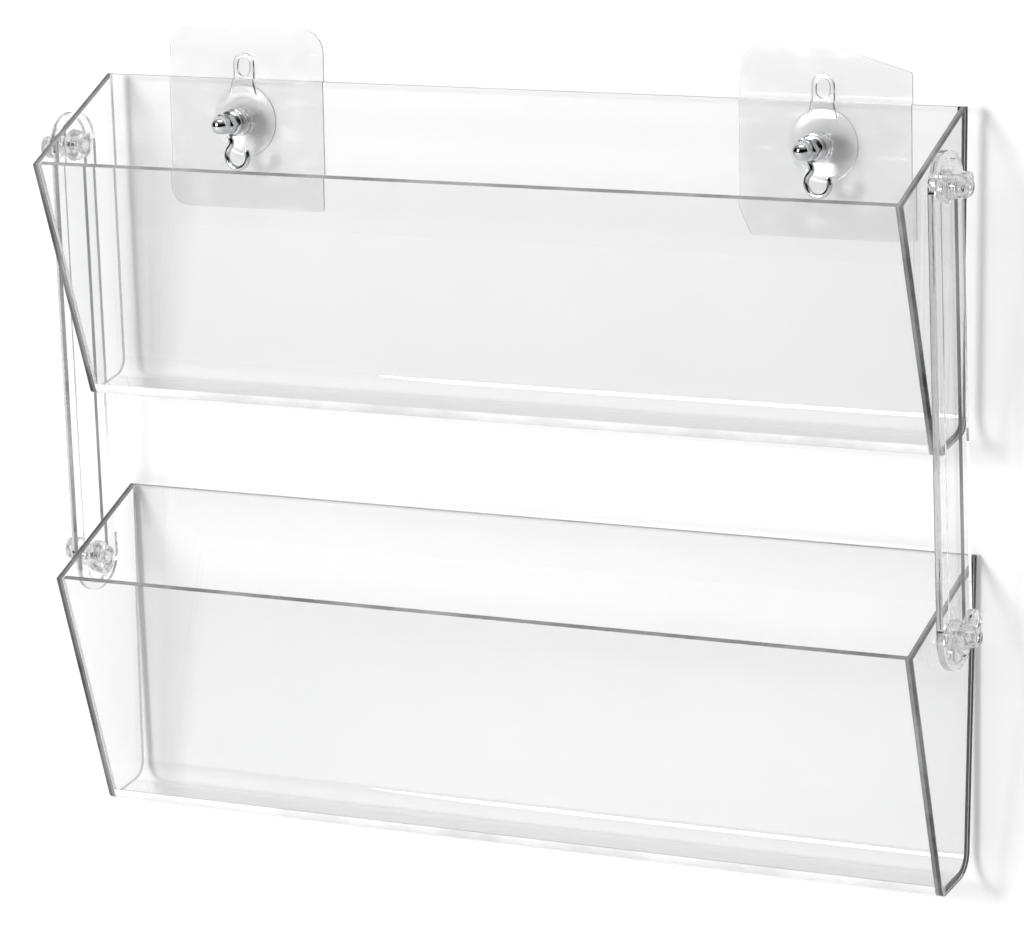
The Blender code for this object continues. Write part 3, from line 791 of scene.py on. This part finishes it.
cupPlan = {
    "foot": 0.9 * mm, "neck": 5.5 * mm, "neckEdge": 0.4 * mm, "height": 6.8 * mm, "pocket": 3 * mm,
    "dome": ((5.5 * mm, 4.8 * mm), (6.3 * mm, 3.8 * mm), (9.3 * mm, 2.7 * mm), (12.2 * mm, 1.5 * mm),
             (14.0 * mm, 0.9 * mm), (14.4 * mm, 0.5 * mm)),
    "lip": ((14.3 * mm, 0.1 * mm), (13.9 * mm, 0)),
    "hollow": ((13.5 * mm, 0.05 * mm), (11.3 * mm, 0.55 * mm), (8 * mm, 0.95 * mm), (0, 1.2 * mm)),
    "tab": 9.2 * mm, "tabHole": (5.9 * mm, 7.8 * mm), "tabRise": 21.6 * mm, "tabRing": 1.6 * mm,
    "tabLow": 0.75 * mm, "tabThick": 1.5 * mm, "tabEdge": 0.4 * mm,
    "tabFlare": ((1.6 * mm, 10.5 * mm), (0.5 * mm, 14 * mm), (0, 16.5 * mm)),  # wider by, at this height
}


def suctionCup(word, side):
    plan = cupPlan
    neck, height, bore, edge = plan["neck"], plan["height"], hangerPlan["bore"], plan["neckEdge"]
    profile = [(0, plan["pocket"]), (bore, plan["pocket"]), (bore, height)]
    profile += [(neck - edge, height), (neck, height - edge)]
    profile += easyLine(plan["dome"]) + list(plan["lip"]) + easyLine(plan["hollow"])
    made = turnedBody(f"{word}SuctionCup", profile, 72)
    half = plan["tab"] / 2
    holeWidth, holeHeight = plan["tabHole"]
    top = plan["tabRise"] + holeHeight / 2 + plan["tabRing"] - half
    rightSide = [(half + wider, height) for wider, height in plan["tabFlare"]]
    leftSide = [(-x, y) for x, y in reversed(rightSide)]
    outline = leftSide[-1:] + rightSide + arcPoints((0, top), half, 0, pi, 20) + leftSide[:-1]
    rise = (holeHeight - holeWidth) / 2
    hole = slotLine(holeWidth, plan["tabRise"] - rise, plan["tabRise"] + rise, 14)
    tab = flatPlate("tab", [outline, hole], plan["tabThick"])
    tab = softenEdges(tab, plan["tabEdge"], 3, 60)
    tab.data.transform(Matrix.Translation((0, 0, plan["tabLow"] + plan["tabThick"] / 2)))
    made = joinOrCut(made, tab, "UNION")
    made.data.transform(Matrix.Translation((side * hangerPlan["studX"], -plan["foot"], 0)) @ outOfWall)
    fit(smoothOver(made, 40), softVinyl, "upper_bin", f"{word}_suction_cup")


studPlan = {"radius": 2.5 * mm, "end": 0.5 * mm, "thread": 0.8 * mm, "threadDepth": 0.32 * mm}


def hangerStud(word, side):
    plan = studPlan
    low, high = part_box(f"{word}_hanger_stud")
    length = high.y - low.y
    radius, end = plan["radius"], plan["end"]
    profile = [(radius - end, 0), (radius, end), (radius, length - end), (radius - end, length)]
    made = threadedBody(f"{word}HangerStud", profile, end, length - end, plan["thread"], plan["threadDepth"])
    made.data.transform(Matrix.Translation((side * hangerPlan["studX"], high.y, 0)) @ outOfWall)
    fit(smoothOver(made, 50), brightChrome, "upper_bin", f"{word}_hanger_stud")


washerPlan = {"radius": 5.5 * mm, "edge": 0.28 * mm}


def washer(word, side):
    low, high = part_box(f"{word}_washer")
    thick, edge, bore = high.y - low.y, washerPlan["edge"], hangerPlan["bore"]
    middle = washerPlan["radius"] - edge
    outer = arcPoints((middle, thick - edge), edge, pi / 2, 0, 4)
    outer += arcPoints((middle, edge), edge, 0, -pi / 2, 4)
    made = turnedBody(f"{word}Washer", outer + [(bore, 0), (bore, thick)], 56, closed=True)
    made.data.transform(Matrix.Translation((side * hangerPlan["studX"], high.y, 0)) @ outOfWall)
    fit(smoothOver(made), brightChrome, "upper_bin", f"{word}_washer")


hookPlan = {
    "wire": 1.1 * mm, "eye": 4.2 * mm, "opening": radians(22), "neck": 8.2 * mm, "kink": 1.8 * mm,
    "aside": radians(48), "ring": 4.9 * mm, "sweep": radians(258), "wireEnd": 0.35 * mm,
    "closing": (0.35, 1.7 * mm), "below": 2.8 * mm,  # the eye's end bends in to the neck under it
}


def hookRoute():
    # (across, up): an eye round the stud, a short neck, then an open ring
    plan = hookPlan
    start = -pi / 2 + plan["opening"]
    route = arcPoints((0, 0), plan["eye"], start, start + 2 * pi - 2 * plan["opening"], 40)
    share, drop = plan["closing"]
    route += [(route[-1][0] * share, -plan["eye"] - drop), (0, -plan["eye"] - plan["below"])]
    route += arcPoints((-plan["kink"], -plan["neck"]), plan["kink"], 0, -plan["aside"], 10)
    reach = plan["kink"] + plan["ring"]
    centre = (reach * cos(plan["aside"]) - plan["kink"], -plan["neck"] - reach * sin(plan["aside"]))
    first = pi - plan["aside"]
    return route + arcPoints(centre, plan["ring"], first, first + plan["sweep"], 44)[1:]


def wireHook(word, side):
    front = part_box(f"{word}_wire_hook")[1].y
    curve = bpy.data.curves.new(f"{word}WireHook", "CURVE")
    curve.dimensions = "3D"
    curve.bevel_depth = hookPlan["wire"]
    curve.bevel_resolution = 6
    curve.use_fill_caps = True
    route = hookRoute()
    spline = curve.splines.new("POLY")
    spline.points.add(len(route) - 1)
    for point, (x, z) in zip(spline.points, route):
        point.co = (x, 0, z, 1)
    made = settle(newObject(curve.name, curve))
    made = softenEdges(made, hookPlan["wireEnd"], 3, 60)
    made.data.transform(Matrix.Translation((side * hangerPlan["studX"], front - hookPlan["wire"], 0)))
    fit(smoothOver(made, 50), brightChrome, f"{word}_hook", f"{word}_wire_hook")


nutPlan = {
    "flats": 8 * mm, "hex": 4.5 * mm, "dome": 3.75 * mm, "domeFoot": 1 * mm, "drillLength": 14.4 * mm,
    # a cone turns the hexagon's corners off: its bite, and how far it reaches in, out and over
    "bite": 0.55 * mm, "biteShare": 2.2, "past": 0.3 * mm, "slope": 0.2 * mm, "over": 1 * mm,
}


def capNut(word, side):
    plan = nutPlan
    low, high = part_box(f"{word}_cap_nut")
    height = high.y - low.y
    corner, top, over = plan["flats"] / 2 / cos(pi / 6), plan["hex"], plan["over"]
    made = turnedBody(f"{word}CapNut", [(0, top), (corner, top), (corner, 0), (0, 0)], 6)
    inner, outer = corner - plan["biteShare"] * plan["bite"], corner + plan["past"]
    level = plan["bite"] + plan["slope"]
    cone = [(0, top + over), (inner, top + over), (inner, top), (outer, top - level), (outer, level)]
    cone += [(inner, 0), (inner, -over), (0, -over)]
    made = joinOrCut(made, turnedBody("cone", cone, 72), "INTERSECT")
    dome = arcPoints((0, height - plan["dome"]), plan["dome"], pi / 2, 0, 16)
    dome += [(plan["dome"], plan["domeFoot"]), (0, plan["domeFoot"])]
    made = joinOrCut(made, turnedBody("dome", dome, 56), "UNION")
    made = drill(made, hangerPlan["bore"], plan["drillLength"], Matrix.Identity(4), (0, 0, 0))
    made.data.transform(Matrix.Translation((side * hangerPlan["studX"], high.y, 0)) @ outOfWall)
    fit(smoothOver(made, 25, True), brightChrome, f"{word}_nut", f"{word}_cap_nut")


for tier in ("upper", "lower"):
    troughSheet(tier)
    for word, side in sides:
        sidePanel(tier, word, side)
        spacerRing(tier, word, side)
        pivotBolt(tier, word, side)
        wingKnob(tier, word, side)
    print(f"{tier} bin: sheet, side panels, spacers, bolts and wing knobs")
for word, side in sides:
    hangingLink(word, side)
    wallPad(word, side)
    suctionCup(word, side)
    hangerStud(word, side)
    washer(word, side)
    wireHook(word, side)
    capNut(word, side)
    print(f"{word} link and hanger: pad, cup, stud, washer, hook and cap nut")


# a pale wall seen only from the front, a pale floor, soft lamps and an even surround
stagePlan = {
    "wallGap": 0.5 * mm, "wall": 5, "floor": 9, "floorLevel": -0.75, "pale": (0.9, 0.9, 0.9),
    "paleRoughness": 0.9, "surround": 1, "ambient": 0.6, "dark": 0.004, "overhead": 0.6,
    "ceiling": (0.3, 0.9),  # what is reflected brightens between these heights
    "keyLamp": {"size": (0.85, 0.85), "place": (-1.1, -2.6, 0.45), "power": 46},
    "topLamp": {"size": (1.6, 0.8), "place": (0.2, -0.9, 1.7), "power": 6},
    "bounces": 24, "clearBounces": 16,  # light runs far along inside the sheets before it comes out
}


def flatSquare(name, size, place, turn, material):
    half = size / 2
    mesh = bpy.data.meshes.new(name)
    corners = [(-half, -half, 0), (half, -half, 0), (half, half, 0), (-half, half, 0)]
    mesh.from_pydata(corners, [], [(0, 1, 2, 3)])
    mesh.materials.append(material)
    made = newObject(name, mesh)
    made.matrix_world = Matrix.Translation(place) @ turn
    return made


def paleMaterial(name, oneSided):
    material = bpy.data.materials.new(name)
    material.use_nodes = True
    tree = material.node_tree
    shader = tree.nodes["Principled BSDF"]
    shader.inputs["Base Color"].default_value = (*stagePlan["pale"], 1)
    shader.inputs["Roughness"].default_value = stagePlan["paleRoughness"]
    shader.inputs["Specular IOR Level"].default_value = 0
    if oneSided:
        mix = node(tree, "ShaderNodeMixShader")
        tree.links.new(node(tree, "ShaderNodeNewGeometry").outputs["Backfacing"], mix.inputs[0])
        tree.links.new(shader.outputs["BSDF"], mix.inputs[1])
        tree.links.new(node(tree, "ShaderNodeBsdfTransparent").outputs[0], mix.inputs[2])
        tree.links.new(mix.outputs[0], tree.nodes["Material Output"].inputs["Surface"])
    return material


def softLamp(name):
    plan = stagePlan[name]
    lamp = bpy.data.lights.new(name, "AREA")
    lamp.shape = "RECTANGLE"
    lamp.size, lamp.size_y = plan["size"]
    lamp.energy = plan["power"]
    made = newObject(name, lamp)
    made.location = plan["place"]
    away = cameraPlan["target"] - made.location
    made.rotation_euler = away.to_track_quat("-Z", "Y").to_euler()


def surroundings():
    # an even pale surround; what the rack reflects is a dark room with a bright ceiling, so edges stay dark
    world = bpy.data.worlds.new("surround")
    bpy.context.scene.world = world
    world.use_nodes = True
    tree = world.node_tree
    background = tree.nodes["Background"]
    background.inputs["Color"].default_value = (1, 1, 1, 1)
    path = node(tree, "ShaderNodeLightPath")
    seen = node(tree, "ShaderNodeMath", operation="MAXIMUM")
    tree.links.new(path.outputs["Is Camera Ray"], seen.inputs[0])
    tree.links.new(path.outputs["Is Transmission Ray"], seen.inputs[1])
    level = rangeOf(tree, seen.outputs[0], 0, 1, stagePlan["ambient"], stagePlan["surround"])
    reflected = node(tree, "ShaderNodeMath", operation="GREATER_THAN")
    reflected.inputs[1].default_value = 0.5
    tree.links.new(path.outputs["Glossy Depth"], reflected.inputs[0])
    split = node(tree, "ShaderNodeSeparateXYZ")
    tree.links.new(node(tree, "ShaderNodeTexCoord").outputs["Generated"], split.inputs[0])
    low, high = stagePlan["ceiling"]
    ceiling = rangeOf(tree, split.outputs["Z"], low, high, stagePlan["dark"], stagePlan["overhead"])
    choose = node(tree, "ShaderNodeMix", data_type="FLOAT")
    tree.links.new(reflected.outputs[0], choose.inputs["Factor"])
    tree.links.new(level, choose.inputs["A"])
    tree.links.new(ceiling, choose.inputs["B"])
    tree.links.new(choose.outputs["Result"], background.inputs["Strength"])


wallPlace, floorPlace = (0, stagePlan["wallGap"], 0), (0, 0, stagePlan["floorLevel"])
flatSquare("backWall", stagePlan["wall"], wallPlace, outOfWall, paleMaterial("pale wall", True))
floorFinish = paleMaterial("pale floor", False)
ground = flatSquare("floor", stagePlan["floor"], floorPlace, Matrix.Identity(4), floorFinish)
ground.visible_glossy = False
softLamp("keyLamp")
softLamp("topLamp")
surroundings()
bpy.context.scene.view_settings.view_transform = "Standard"  # the pale wall stays a true white
lightPaths = bpy.context.scene.cycles
lightPaths.max_bounces = stagePlan["bounces"]
lightPaths.glossy_bounces = stagePlan["bounces"]
lightPaths.transmission_bounces = stagePlan["bounces"]
lightPaths.transparent_max_bounces = stagePlan["clearBounces"]
print("stage: wall, floor, two soft lamps and a pale surround")
